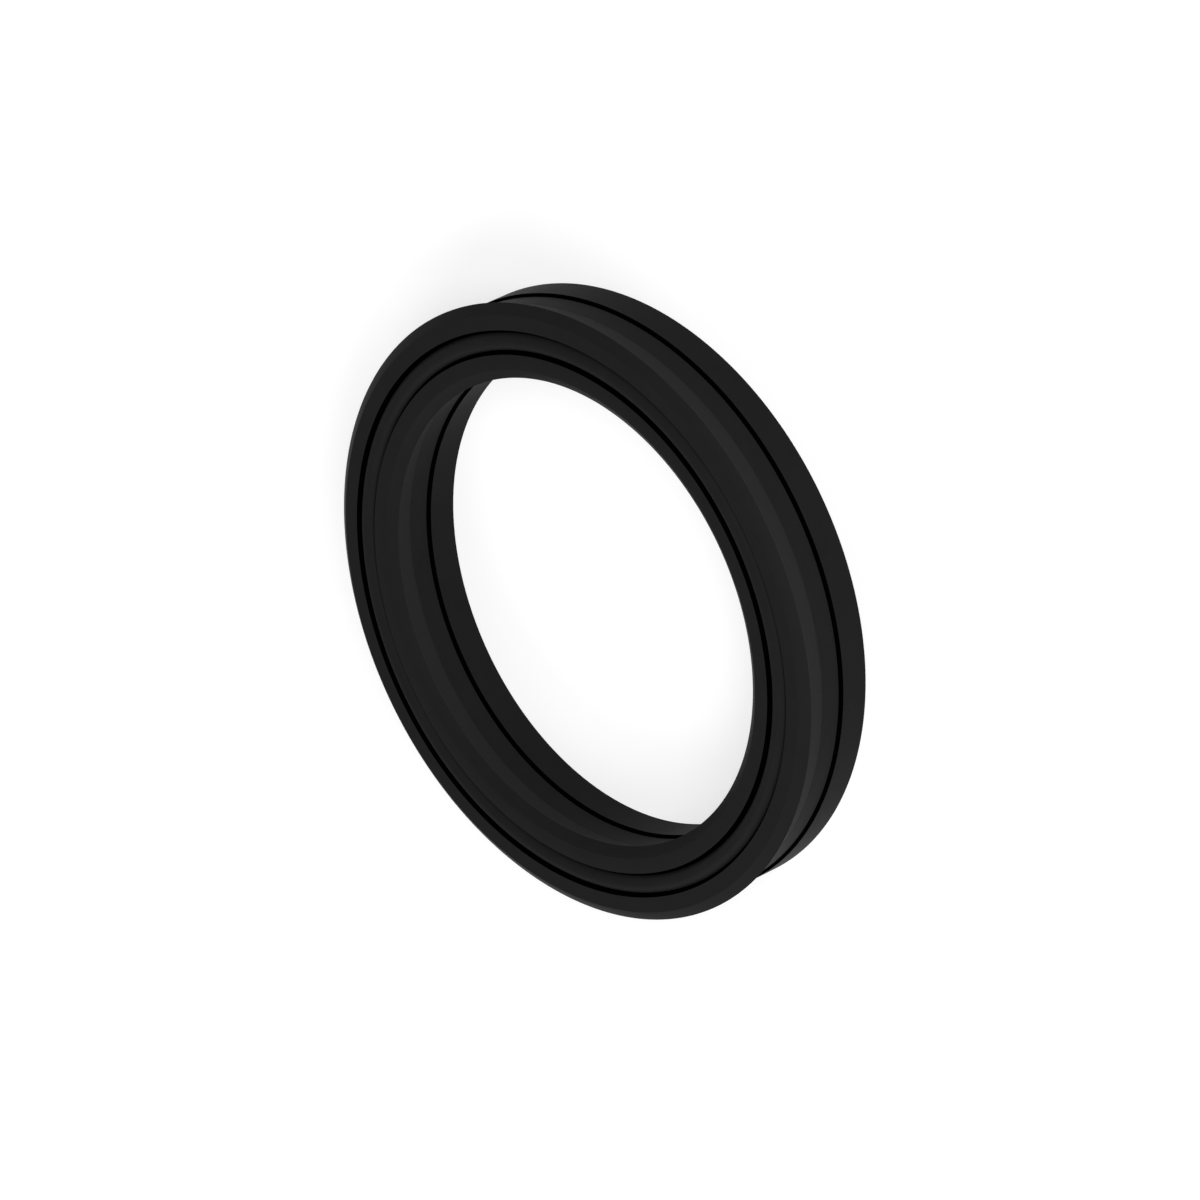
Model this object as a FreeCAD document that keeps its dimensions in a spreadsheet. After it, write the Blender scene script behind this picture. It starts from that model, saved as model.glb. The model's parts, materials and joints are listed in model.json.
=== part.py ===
# Piston rod seal: one moulded rubber ring of symmetric U section, in millimetres.
# The ring lies on its heel. +Z is its axis and points from the heel to the lips,
# and the origin is on the axis, in the plane of the heel face.

import FreeCAD, Part
import math
import os
import Sketcher

NODE = "seal_ring"

# alias, millimetres, what it measures
SIZES = (
    ("rod_diameter", 40.0, "the rod that the inner lip wipes"),
    ("gland_depth", 5.0, "from the rod out to the bottom of the gland"),
    ("seal_height", 7.42, "from the heel face to the flat tops of the lips"),
    ("heel_height", 2.53, "the band that closes the gap behind the seal"),
    ("heel_clearance", 0.025, "from the heel band to the rod, and to the gland"),
    ("heel_slot_width", 0.32, "slot between the heel band and the waist"),
    ("heel_slot_depth", 0.6, "from the waist in to that slot's floor"),
    ("waist_relief", 0.21, "how far the waist stands back from the heel band"),
    ("lip_overhang", 0.59, "how far a relaxed lip stands past the gland, each side"),
    ("lip_bevel_height", 0.61, "from a lip's sealing edge up to its flat top"),
    ("lip_flank_height", 2.1, "from the foot of a lip's flank up to its sealing edge"),
    ("lip_slot_width", 0.275, "slot between a lip and the middle rib"),
    ("lip_slot_depth", 3.0, "from the lips' flat tops down to that slot's floor"),
    ("rib_width", 1.44, "middle rib, from slot to slot"),
    ("rib_dome_height", 0.45, "from the rib's upper corners to the crown of its round top"),
    ("rib_rise", 0.08, "how far that crown stands above the lips' flat tops"),
)

# lengths in the section that take more than one size: half widths are about the mean radius
MEAN_RADIUS = "sizes.rod_diameter / 2 + sizes.gland_depth / 2"
HEEL_HALF_WIDTH = "sizes.gland_depth / 2 - sizes.heel_clearance"
LIP_HALF_WIDTH = "sizes.gland_depth / 2 + sizes.lip_overhang"
RIB_HALF_WIDTH = "sizes.rib_width / 2"
DOME_RADIUS = "sizes.rib_dome_height / 2 + sizes.rib_width ^ 2 / (8 * sizes.rib_dome_height)"
DOME_CENTRE_HEIGHT = "sizes.seal_height + sizes.rib_rise - (%s)" % DOME_RADIUS

# one half of the section, in order from the heel face round to the rib's upper corner
HALF_SECTION = (
    "heel_wall", "heel_ledge", "heel_slot_floor", "heel_slot_roof", "waist", "flank",
    "bevel", "lip_top", "lip_wall", "lip_slot_floor", "rib_wall",
)
UPRIGHT = ("heel_wall", "heel_slot_floor", "waist", "lip_wall", "rib_wall")
LEVEL = ("heel_ledge", "heel_slot_roof", "lip_top", "lip_slot_floor")

# the numbers of a line's two ends and an arc's centre, then the section's own x axis and origin
START, END, CENTRE = 1, 2, 3
X_AXIS = -1
ORIGIN = (-1, START)

OUTER, INNER = 1, -1
FULL_TURN = 360.0


def make_sheet(document):
    sheet = document.addObject("Spreadsheet::Sheet", "sizes")
    for row, (alias, millimetres, meaning) in enumerate(SIZES, start=1):
        sheet.set("A%d" % row, meaning)
        sheet.set("B%d" % row, str(millimetres))
        sheet.setAlias("B%d" % row, alias)
    document.recompute()
    return sheet


def origin_part(body, role):
    return next(feature for feature in body.Origin.OriginFeatures if feature.Role == role)


def constrain(section, kind, *references):
    return section.addConstraint(Sketcher.Constraint(kind, *references))


def dimension(section, kind, first, second, expression):
    """Sets the distance between two points along x or y, positive whichever way they were drawn."""
    gap = section.getPoint(*second) - section.getPoint(*first)
    drawn = gap.x if kind == "DistanceX" else gap.y
    if drawn < 0:
        first, second = second, first
    number = constrain(section, kind, *first, *second, abs(drawn))
    section.setExpression("Constraints[%d]" % number, expression)


def draw_half(section, sheet, side):
    """Draws the outer or the inner half of the section, and returns its segments by name."""
    middle = sheet.rod_diameter / 2 + sheet.gland_depth / 2
    heel = sheet.gland_depth / 2 - sheet.heel_clearance
    waist = heel - sheet.waist_relief
    slot_floor = waist - sheet.heel_slot_depth
    slot_roof = sheet.heel_height + sheet.heel_slot_width
    lip = sheet.gland_depth / 2 + sheet.lip_overhang
    lip_edge = sheet.seal_height - sheet.lip_bevel_height
    lip_slot_floor = sheet.seal_height - sheet.lip_slot_depth
    rib = sheet.rib_width / 2
    mouth = rib + sheet.lip_slot_width
    rib_corner = sheet.seal_height + sheet.rib_rise - sheet.rib_dome_height

    corners = (
        (heel, 0), (heel, sheet.heel_height), (slot_floor, sheet.heel_height),
        (slot_floor, slot_roof), (waist, slot_roof), (waist, lip_edge - sheet.lip_flank_height),
        (lip, lip_edge), (waist, sheet.seal_height), (mouth, sheet.seal_height),
        (mouth, lip_slot_floor), (rib, lip_slot_floor), (rib, rib_corner),
    )
    points = [FreeCAD.Vector(middle + side * across, height, 0) for across, height in corners]
    return {
        name: section.addGeometry(Part.LineSegment(before, after), False)
        for name, before, after in zip(HALF_SECTION, points, points[1:])
    }


def constrain_half(section, half, foot):
    """Joins one half of the section end to end and ties it to the sizes and to the middle's foot."""
    first = {name: (segment, START) for name, segment in half.items()}
    last = {name: (segment, END) for name, segment in half.items()}

    for before, after in zip(HALF_SECTION, HALF_SECTION[1:]):
        constrain(section, "Coincident", *last[before], *first[after])
    for name in UPRIGHT:
        constrain(section, "Vertical", half[name])
    for name in LEVEL:
        constrain(section, "Horizontal", half[name])
    constrain(section, "Vertical", *last["waist"], *last["bevel"])

    dimension(section, "DistanceX", foot, first["heel_wall"], HEEL_HALF_WIDTH)
    dimension(section, "DistanceY", first["heel_wall"], last["heel_wall"], "sizes.heel_height")
    dimension(section, "DistanceY", last["heel_wall"], first["waist"], "sizes.heel_slot_width")
    dimension(section, "DistanceX", last["heel_wall"], first["waist"], "sizes.waist_relief")
    dimension(section, "DistanceX", last["heel_ledge"], first["waist"], "sizes.heel_slot_depth")
    dimension(section, "DistanceX", foot, last["flank"], LIP_HALF_WIDTH)
    dimension(section, "DistanceY", foot, last["bevel"], "sizes.seal_height")
    dimension(section, "DistanceY", last["flank"], last["bevel"], "sizes.lip_bevel_height")
    dimension(section, "DistanceY", first["flank"], last["flank"], "sizes.lip_flank_height")
    dimension(section, "DistanceY", last["lip_wall"], first["lip_wall"], "sizes.lip_slot_depth")
    dimension(section, "DistanceX", last["lip_wall"], first["rib_wall"], "sizes.lip_slot_width")
    dimension(section, "DistanceX", foot, first["rib_wall"], RIB_HALF_WIDTH)


def make_section(body, sheet):
    """The seal's section in the XZ plane: x is the distance from the axis, y the height above the heel."""
    section = body.newObject("Sketcher::SketchObject", "section")
    section.AttachmentSupport = (origin_part(body, "XZ_Plane"), [""])
    section.MapMode = "FlatFace"

    outer = draw_half(section, sheet, OUTER)
    inner = draw_half(section, sheet, INNER)
    outer_foot = section.getPoint(outer["heel_wall"], START)
    inner_foot = section.getPoint(inner["heel_wall"], START)
    outer_corner = section.getPoint(outer["rib_wall"], END)
    inner_corner = section.getPoint(inner["rib_wall"], END)
    crown = (outer_corner + inner_corner) / 2 + FreeCAD.Vector(0, sheet.rib_dome_height, 0)

    heel_face = section.addGeometry(Part.LineSegment(inner_foot, outer_foot), False)
    dome = section.addGeometry(Part.Arc(outer_corner, crown, inner_corner), False)
    dome_centre = section.getPoint(dome, CENTRE)
    foot = FreeCAD.Vector(dome_centre.x, 0, 0)
    middle = section.addGeometry(Part.LineSegment(foot, dome_centre), True)

    constrain(section, "PointOnObject", middle, START, X_AXIS)
    constrain(section, "Vertical", middle)
    dimension(section, "DistanceX", ORIGIN, (middle, START), MEAN_RADIUS)

    constrain(section, "PointOnObject", heel_face, START, X_AXIS)
    constrain(section, "Horizontal", heel_face)
    constrain(section, "Coincident", heel_face, START, inner["heel_wall"], START)
    constrain(section, "Coincident", heel_face, END, outer["heel_wall"], START)
    constrain_half(section, outer, (middle, START))
    constrain_half(section, inner, (middle, START))

    constrain(section, "Coincident", dome, START, outer["rib_wall"], END)
    constrain(section, "Coincident", dome, END, inner["rib_wall"], END)
    constrain(section, "Coincident", dome, CENTRE, middle, END)
    dimension(section, "DistanceY", (middle, START), (dome, CENTRE), DOME_CENTRE_HEIGHT)
    radius = constrain(section, "Radius", dome, outer_corner.distanceToPoint(dome_centre))
    section.setExpression("Constraints[%d]" % radius, DOME_RADIUS)
    return section


def make_ring(document, sheet):
    """Turns the section round the axis into the one solid of the seal."""
    body = document.addObject("PartDesign::Body", NODE)
    body.Label = NODE
    section = make_section(body, sheet)
    document.recompute()
    if section.solve() != 0 or not section.FullyConstrained:
        raise RuntimeError("the section isn't fully constrained")

    turned = body.newObject("PartDesign::Revolution", "turned_section")
    turned.Profile = section
    turned.ReferenceAxis = (origin_part(body, "Z_Axis"), [""])
    turned.Angle = FULL_TURN
    body.Tip = turned
    document.recompute()
    return body


def check(document, ring, sheet):
    for thing in document.Objects:
        if "Invalid" in thing.State or "Error" in thing.State:
            raise RuntimeError("%s failed: %s" % (thing.Label, thing.State))
    shape = ring.Shape
    if shape.isNull() or not shape.isValid() or len(shape.Solids) != 1:
        raise RuntimeError("%s isn't one valid solid" % ring.Label)

    # a section that was turned the whole way holds its area times the way that its middle goes
    swept = math.pi * (sheet.rod_diameter + sheet.gland_depth) * Part.Face(ring.Tip.Profile[0].Shape).Area
    if not math.isclose(shape.Volume, swept, rel_tol=1e-4):
        raise RuntimeError("%s holds %.1f mm3 and not %.1f" % (ring.Label, shape.Volume, swept))


document = FreeCAD.newDocument("piston_rod_seal")
sheet = make_sheet(document)
ring = make_ring(document, sheet)
check(document, ring, sheet)

os.makedirs("parts", exist_ok=True)
ring.Shape.exportStep("parts/%s.step" % ring.Label)
box = ring.Shape.optimalBoundingBox()
print("%s: %.2f mm across, %.2f mm high, %.1f mm3" % (ring.Label, box.XLength, box.ZLength, ring.Shape.Volume))
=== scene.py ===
import json
import math

import bpy
from mathutils import Matrix, Vector


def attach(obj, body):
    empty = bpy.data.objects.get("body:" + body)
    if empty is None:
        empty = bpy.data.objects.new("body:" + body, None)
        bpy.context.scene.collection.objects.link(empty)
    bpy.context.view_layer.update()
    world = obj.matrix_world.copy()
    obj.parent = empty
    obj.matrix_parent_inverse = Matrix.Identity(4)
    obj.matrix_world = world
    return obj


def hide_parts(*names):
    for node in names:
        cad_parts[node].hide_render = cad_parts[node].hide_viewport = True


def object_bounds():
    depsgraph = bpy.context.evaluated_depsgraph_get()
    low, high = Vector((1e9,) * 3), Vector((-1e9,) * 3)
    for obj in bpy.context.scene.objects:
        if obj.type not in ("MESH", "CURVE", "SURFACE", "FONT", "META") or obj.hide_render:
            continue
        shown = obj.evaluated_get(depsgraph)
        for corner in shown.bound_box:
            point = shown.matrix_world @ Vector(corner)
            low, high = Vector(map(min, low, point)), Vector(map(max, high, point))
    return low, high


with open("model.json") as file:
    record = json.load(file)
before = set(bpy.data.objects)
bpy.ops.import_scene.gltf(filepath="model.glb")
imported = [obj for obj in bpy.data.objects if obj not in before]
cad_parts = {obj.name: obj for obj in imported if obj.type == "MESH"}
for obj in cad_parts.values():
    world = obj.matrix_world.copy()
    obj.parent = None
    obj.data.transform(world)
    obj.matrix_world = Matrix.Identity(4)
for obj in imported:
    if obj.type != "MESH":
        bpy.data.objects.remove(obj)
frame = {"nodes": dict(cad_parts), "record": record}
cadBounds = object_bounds()
mm = 0.001
quarterTurn = math.pi / 2
print("frame loaded:", sorted(frame["nodes"]))

# the rubber ring: heights and widths in mm, half widths counted from the ring's mean radius
mounts = {mount["name"]: mount["dims"] for mount in frame["record"]["mounts"]}
boreRadius = mounts["rod_bore"]["r_mm"]
glandRadius = mounts["gland_fit"]["r_mm"]
meanRadius = (boreRadius + glandRadius) / 2
waistRelief = 0.21              # mm that the waist stands back from the heel band
ring = {
    "meanRadius": meanRadius,
    "heelHalf": glandRadius - meanRadius,
    "heelTop": 2.53,
    "heelSlotTop": 2.85,
    "heelSlotDepth": 0.6,
    "waistHalf": glandRadius - meanRadius - waistRelief,
    "flankFoot": mounts["gland_fit"]["length_mm"],
    "lipEdge": 6.81,
    "lipHalf": cadBounds[1].x / mm - meanRadius,
    "lipTop": 7.42,
    "lipSlotWidth": 0.275,
    "lipSlotDepth": 3.0,
    "ribHalf": 0.72,
    "domeHeight": 0.45,
    "crown": cadBounds[1].z / mm,
    "edgeRounding": 0.012,      # a moulded edge is never quite sharp
    "roundedFrom": 19,          # degrees that two walls turn by before their edge is rounded
    "domeSteps": 14,
    "turnSteps": 360,
    "roundingSteps": 3,
    "largeFaceWeight": 100,     # lets the large faces keep their own shading beside a rounded edge
    "weld": 0.001,              # mm within which points are merged
}


def deselectAll():
    if bpy.context.object and bpy.context.object.mode != "OBJECT":
        bpy.ops.object.mode_set(mode="OBJECT")
    bpy.ops.object.select_all(action="DESELECT")


def extrudeTo(pen, across, height):
    # the pen is the last point drawn, in mm, and the one selected vertex
    step = Vector((across - pen[0], 0, height - pen[1])) * mm
    bpy.ops.mesh.extrude_region_move(TRANSFORM_OT_translate={"value": step})
    return across, height


def drawHalfSection():
    # from the middle of the heel out, up to the lip, down and up through its slot and over the rib
    slotFloor = ring["waistHalf"] - ring["heelSlotDepth"]
    mouth = ring["ribHalf"] + ring["lipSlotWidth"]
    domeFoot = ring["crown"] - ring["domeHeight"]
    domeRadius = ring["domeHeight"] / 2 + ring["ribHalf"] ** 2 / (2 * ring["domeHeight"])
    domeAngle = math.asin(ring["ribHalf"] / domeRadius)
    corners = (
        (ring["heelHalf"], 0), (ring["heelHalf"], ring["heelTop"]), (slotFloor, ring["heelTop"]),
        (slotFloor, ring["heelSlotTop"]), (ring["waistHalf"], ring["heelSlotTop"]),
        (ring["waistHalf"], ring["flankFoot"]), (ring["lipHalf"], ring["lipEdge"]),
        (ring["waistHalf"], ring["lipTop"]), (mouth, ring["lipTop"]),
        (mouth, ring["lipTop"] - ring["lipSlotDepth"]),
        (ring["ribHalf"], ring["lipTop"] - ring["lipSlotDepth"]), (ring["ribHalf"], domeFoot),
    )

    bpy.ops.mesh.primitive_plane_add(size=mm, location=(ring["meanRadius"] * mm, 0, 0))
    bpy.ops.object.mode_set(mode="EDIT")
    bpy.ops.mesh.select_all(action="SELECT")
    bpy.ops.mesh.merge(type="CENTER")
    pen = (0, 0)
    for across, height in corners:
        pen = extrudeTo(pen, across, height)
    domeCentre = Vector((ring["meanRadius"], 0, ring["crown"] - domeRadius)) * mm
    bpy.ops.mesh.spin(steps=ring["domeSteps"], angle=domeAngle, center=domeCentre, axis=(0, 1, 0))
    bpy.ops.object.mode_set(mode="OBJECT")
    return bpy.context.object


def applyModifier(piece, kind, **settings):
    modifier = piece.modifiers.new(kind.lower(), kind)
    for name, setting in settings.items():
        setattr(modifier, name, setting)
    bpy.ops.object.modifier_apply(modifier=modifier.name)


def turnRing():
    deselectAll()
    piece = drawHalfSection()
    applyModifier(piece, "MIRROR", use_axis=(True, False, False), merge_threshold=ring["weld"] * mm)
    bpy.ops.object.transform_apply(location=True, rotation=True, scale=True)
    bpy.ops.object.mode_set(mode="EDIT")
    bpy.ops.mesh.select_all(action="SELECT")
    bpy.ops.mesh.spin(steps=ring["turnSteps"], angle=math.tau, center=(0, 0, 0), axis=(0, 0, 1))
    bpy.ops.mesh.select_all(action="SELECT")
    bpy.ops.mesh.remove_doubles(threshold=ring["weld"] * mm)
    bpy.ops.mesh.normals_make_consistent(inside=False)
    bpy.ops.object.mode_set(mode="OBJECT")
    applyModifier(
        piece, "BEVEL", width=ring["edgeRounding"] * mm, segments=ring["roundingSteps"],
        limit_method="ANGLE", angle_limit=math.radians(ring["roundedFrom"]), use_clamp_overlap=False,
    )
    bpy.ops.object.shade_smooth()
    applyModifier(piece, "WEIGHTED_NORMAL", keep_sharp=True, weight=ring["largeFaceWeight"])
    piece.name = "seal_ring_rubber"
    return piece


def inPaintedCreviceShade(point):
    # the two slots beside the rib, and the slots and ledges above the heel band: faces here get a
    # near-black painted shade
    across = abs(math.hypot(point.x, point.y) / mm - ring["meanRadius"])
    height = point.z / mm
    hair = ring["edgeRounding"] / 4
    besideRib = ring["ribHalf"] - hair < across < ring["ribHalf"] + ring["lipSlotWidth"] + hair
    aboveHeel = ring["heelTop"] - hair < height < ring["heelSlotTop"] + hair
    if besideRib and height > ring["heelSlotTop"]:
        return height < ring["lipTop"] - hair
    return aboveHeel and across < ring["heelHalf"] - ring["edgeRounding"]


def onPaintedFlankLight(point):
    # between the waist and the edge of either lip, where the rubber is duller, and paler in colour as
    # painted light that stands in for light from below
    return ring["flankFoot"] < point.z / mm < ring["lipEdge"] and not inPaintedCreviceShade(point)


rubber = {
    "moulded": {
        "darkest": (0.0095, 0.0095, 0.0096, 1),
        "palest": (0.0121, 0.0121, 0.0123, 1),
        "roughness": (0.46, 0.54),
        "gloss": 0.020,
    },
    # paler than the moulded rubber as painted light from below; the higher roughness is the rubber's
    # own
    "flank": {
        "darkest": (0.0172, 0.0172, 0.0174, 1),
        "palest": (0.0196, 0.0196, 0.0199, 1),
        "roughness": (0.61, 0.69),
        "gloss": 0.020,
    },
    # near-black painted shade for the slot walls and ledges, standing in for the shade deep inside them
    "paintedSlotShade": {
        "colour": (0.0005, 0.0005, 0.0005, 1),
        "roughness": 1.0,
        "gloss": 0.0,
    },
    "mottling": (420, 3),       # waves per metre and steps of detail, as in the next two lines
    "grain": (9000, 3),
    "turningMarks": (7000, 2),
    "markHeight": 0.000004,
    "relief": 0.35,
}


def addNode(nodes, kind, **settings):
    node = nodes.new(kind)
    for name, setting in settings.items():
        setattr(node, name, setting)
    return node


def addNoise(tree, source, pattern):
    noise = addNode(tree.nodes, "ShaderNodeTexNoise")
    noise.inputs["Scale"].default_value, noise.inputs["Detail"].default_value = rubber[pattern]
    tree.links.new(source, noise.inputs["Vector"])
    return noise.outputs["Fac"]


def makeRubber(name, finish):
    material = bpy.data.materials.new(name)
    material.use_nodes = True
    tree = material.node_tree
    nodes, links = tree.nodes, tree.links
    shader = nodes["Principled BSDF"]
    shader.inputs["Specular IOR Level"].default_value = finish["gloss"]
    place = addNode(nodes, "ShaderNodeTexCoord").outputs["Object"]

    # soft patches, in which the rubber is a little paler and duller
    patches = addNoise(tree, place, "mottling")
    shade = addNode(nodes, "ShaderNodeMix", data_type="RGBA")
    shade.inputs["A"].default_value = finish["darkest"]
    shade.inputs["B"].default_value = finish["palest"]
    links.new(patches, shade.inputs["Factor"])
    links.new(shade.outputs["Result"], shader.inputs["Base Color"])
    dullness = addNode(nodes, "ShaderNodeMapRange")
    smoothest, roughest = finish["roughness"]
    dullness.inputs["To Min"].default_value = smoothest
    dullness.inputs["To Max"].default_value = roughest
    links.new(patches, dullness.inputs["Value"])
    links.new(dullness.outputs["Result"], shader.inputs["Roughness"])

    # marks that run round the ring, left by the turned mould: they change only along radius and height
    split = addNode(nodes, "ShaderNodeSeparateXYZ")
    links.new(place, split.inputs["Vector"])
    flat = addNode(nodes, "ShaderNodeCombineXYZ")
    links.new(split.outputs["X"], flat.inputs["X"])
    links.new(split.outputs["Y"], flat.inputs["Y"])
    radius = addNode(nodes, "ShaderNodeVectorMath", operation="LENGTH")
    links.new(flat.outputs["Vector"], radius.inputs[0])
    section = addNode(nodes, "ShaderNodeCombineXYZ")
    links.new(radius.outputs["Value"], section.inputs["X"])
    links.new(split.outputs["Z"], section.inputs["Z"])
    marks = addNoise(tree, section.outputs["Vector"], "turningMarks")
    grain = addNoise(tree, place, "grain")
    faded = addNode(nodes, "ShaderNodeMath", operation="MULTIPLY")
    links.new(marks, faded.inputs[0])
    links.new(patches, faded.inputs[1])
    height = addNode(nodes, "ShaderNodeMath", operation="ADD")
    links.new(faded.outputs["Value"], height.inputs[0])
    links.new(grain, height.inputs[1])

    relief = addNode(nodes, "ShaderNodeBump")
    relief.inputs["Strength"].default_value = rubber["relief"]
    relief.inputs["Distance"].default_value = rubber["markHeight"]
    links.new(height.outputs["Value"], relief.inputs["Height"])
    links.new(relief.outputs["Normal"], shader.inputs["Normal"])
    return material


def makePaintedSlotShade(name, finish):
    # a flat near-black material that paints the shade in the slots
    material = bpy.data.materials.new(name)
    material.use_nodes = True
    shader = material.node_tree.nodes["Principled BSDF"]
    shader.inputs["Base Color"].default_value = finish["colour"]
    shader.inputs["Roughness"].default_value = finish["roughness"]
    shader.inputs["Specular IOR Level"].default_value = finish["gloss"]
    return material


def dressRing(piece):
    materials = piece.data.materials
    materials.append(makeRubber("moulded_rubber", rubber["moulded"]))
    materials.append(makePaintedSlotShade("painted_slot_shade", rubber["paintedSlotShade"]))
    materials.append(makeRubber("flank_rubber", rubber["flank"]))
    moulded, paintedSlotShade, flank = range(len(materials))
    for face in piece.data.polygons:
        # faces in the slots take the painted shade
        if inPaintedCreviceShade(face.center):
            face.material_index = paintedSlotShade
        # faces on the flank take the paler colour that paints light from below
        elif onPaintedFlankLight(face.center):
            face.material_index = flank
        else:
            face.material_index = moulded


camera = {
    "offAxis": 50.363,          # degrees between the ring's axis and the line of sight
    "axisInPicture": 154.897,   # degrees clockwise from the picture's right to where the axis points
    "pictureWidth": 1200,
    "pixelsPerMm": 12.729,
    "distancePixels": 10000,
    "ringPixel": (603.2, 599.07),   # from the picture's left and top edges
    "ringHeight": 3.4,              # mm above the heel of the point on the axis that is seen there
    "sensor": 36,
    "nearest": 0.01,                # metres that it sees from and to
    "farthest": 20,
}


def placeCamera():
    tilt = math.radians(camera["offAxis"])
    roll = math.radians(camera["axisInPicture"]) + quarterTurn
    back = Vector((0, -math.sin(tilt), math.cos(tilt)))
    level = Vector((1, 0, 0))
    climb = back.cross(level)
    right = level * math.cos(roll) + climb * math.sin(roll)
    up = back.cross(right)
    scale = mm / camera["pixelsPerMm"]
    across = (camera["ringPixel"][0] - camera["pictureWidth"] / 2) * scale
    rise = (camera["pictureWidth"] / 2 - camera["ringPixel"][1]) * scale
    target = Vector((0, 0, camera["ringHeight"] * mm)) - right * across - up * rise
    place = target + back * camera["distancePixels"] * scale
    turn = Matrix((right, up, back)).transposed().to_euler()
    bpy.ops.object.camera_add(location=place, rotation=turn)
    made = bpy.context.object
    made.data.sensor_width = camera["sensor"]
    made.data.lens = camera["sensor"] * camera["distancePixels"] / camera["pictureWidth"]
    made.data.clip_start = camera["nearest"]
    made.data.clip_end = camera["farthest"]
    bpy.context.scene.camera = made
    print("camera at", [round(value, 4) for value in place])


studio = {
    "floorSize": 6,
    "board": 0.85,              # how much light the white board throws back at the ring
    "boardInPicture": 0.45,     # how much of the lamps' light it throws back where it is seen
    "ownLight": 0.65,           # its own light where it is seen, which keeps the shadow pale
    "plainWhiteFrom": 0.08,     # metres from the ring's axis where the board begins to turn plain white
    "plainWhiteBy": 0.2,
    "white": 1.0,
    "sky": 0.35,
    "lampDistance": 0.6,
    "lampWidth": 0.3,
    "lamps": {                  # degrees from +Y towards +X, degrees above the floor, watts
        "front": (180, 35, 2.25),
        "side": (225, 35, 1.1),
        "back": (315, 35, 0.9),
    },
}


def seenRays(tree):
    # 1 for what the camera sees, also in a reflection, and 0 for light that falls on the ring
    rays = addNode(tree.nodes, "ShaderNodeLightPath")
    mirrored = addNode(tree.nodes, "ShaderNodeMath", operation="MAXIMUM")
    tree.links.new(rays.outputs["Is Camera Ray"], mirrored.inputs[0])
    tree.links.new(rays.outputs["Is Glossy Ray"], mirrored.inputs[1])
    seen = addNode(tree.nodes, "ShaderNodeMath", operation="MAXIMUM")
    tree.links.new(mirrored.outputs["Value"], seen.inputs[0])
    tree.links.new(rays.outputs["Is Transmission Ray"], seen.inputs[1])
    return seen.outputs["Value"]


def makeWhiteBoard():
    material = bpy.data.materials.new("white_board")
    material.use_nodes = True
    tree = material.node_tree
    tree.nodes.clear()
    plain = addNode(tree.nodes, "ShaderNodeBsdfDiffuse")
    plain.inputs["Color"].default_value = (studio["board"],) * 3 + (1,)

    # near the ring the board shows its shadow, and further away it is as white as the backdrop
    shaded = addNode(tree.nodes, "ShaderNodeBsdfDiffuse")
    shaded.inputs["Color"].default_value = (studio["boardInPicture"],) * 3 + (1,)
    glow = addNode(tree.nodes, "ShaderNodeEmission")
    glow.inputs["Strength"].default_value = studio["ownLight"]
    nearRing = addNode(tree.nodes, "ShaderNodeAddShader")
    tree.links.new(shaded.outputs["BSDF"], nearRing.inputs[0])
    tree.links.new(glow.outputs["Emission"], nearRing.inputs[1])
    place = addNode(tree.nodes, "ShaderNodeTexCoord").outputs["Object"]
    distance = addNode(tree.nodes, "ShaderNodeVectorMath", operation="LENGTH")
    tree.links.new(place, distance.inputs[0])
    away = addNode(tree.nodes, "ShaderNodeMapRange", interpolation_type="SMOOTHSTEP")
    away.inputs["From Min"].default_value = studio["plainWhiteFrom"]
    away.inputs["From Max"].default_value = studio["plainWhiteBy"]
    tree.links.new(distance.outputs["Value"], away.inputs["Value"])
    white = addNode(tree.nodes, "ShaderNodeEmission")
    white.inputs["Strength"].default_value = studio["white"]
    picture = addNode(tree.nodes, "ShaderNodeMixShader")
    tree.links.new(away.outputs["Result"], picture.inputs[0])
    tree.links.new(nearRing.outputs["Shader"], picture.inputs[1])
    tree.links.new(white.outputs["Emission"], picture.inputs[2])

    either = addNode(tree.nodes, "ShaderNodeMixShader")
    tree.links.new(seenRays(tree), either.inputs[0])
    tree.links.new(plain.outputs["BSDF"], either.inputs[1])
    tree.links.new(picture.outputs["Shader"], either.inputs[2])
    output = addNode(tree.nodes, "ShaderNodeOutputMaterial")
    tree.links.new(either.outputs["Shader"], output.inputs["Surface"])
    return material


def makeStage():
    deselectAll()
    bpy.ops.mesh.primitive_plane_add(size=studio["floorSize"], location=(0, 0, 0))
    floor = bpy.context.object
    floor.name = "studio_floor"
    floor.data.materials.append(makeWhiteBoard())

    world = bpy.data.worlds.new("studio")
    world.use_nodes = True
    bpy.context.scene.world = world
    strength = addNode(world.node_tree.nodes, "ShaderNodeMapRange")
    strength.inputs["To Min"].default_value = studio["sky"]
    strength.inputs["To Max"].default_value = studio["white"]
    world.node_tree.links.new(seenRays(world.node_tree), strength.inputs["Value"])
    sky = world.node_tree.nodes["Background"]
    sky.inputs["Color"].default_value = (1, 1, 1, 1)
    world.node_tree.links.new(strength.outputs["Result"], sky.inputs["Strength"])

    for name, (azimuth, elevation, watts) in studio["lamps"].items():
        azimuth, elevation = math.radians(azimuth), math.radians(elevation)
        towards = Vector((math.sin(azimuth) * math.cos(elevation),
                          math.cos(azimuth) * math.cos(elevation), math.sin(elevation)))
        bpy.ops.object.light_add(type="AREA", location=towards * studio["lampDistance"],
                                 rotation=towards.to_track_quat("Z", "Y").to_euler())
        lamp = bpy.context.object
        lamp.name = name + "_lamp"
        lamp.data.shape = "DISK"
        lamp.data.size = studio["lampWidth"]
        lamp.data.energy = watts
    print("stage set:", len(studio["lamps"]), "lamps")


sealRing = turnRing()
dressRing(sealRing)
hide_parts("seal_ring")
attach(sealRing, "root")
print("ring turned:", len(sealRing.data.polygons), "faces")

makeStage()
placeCamera()
bpy.context.scene.view_settings.view_transform = "Standard"
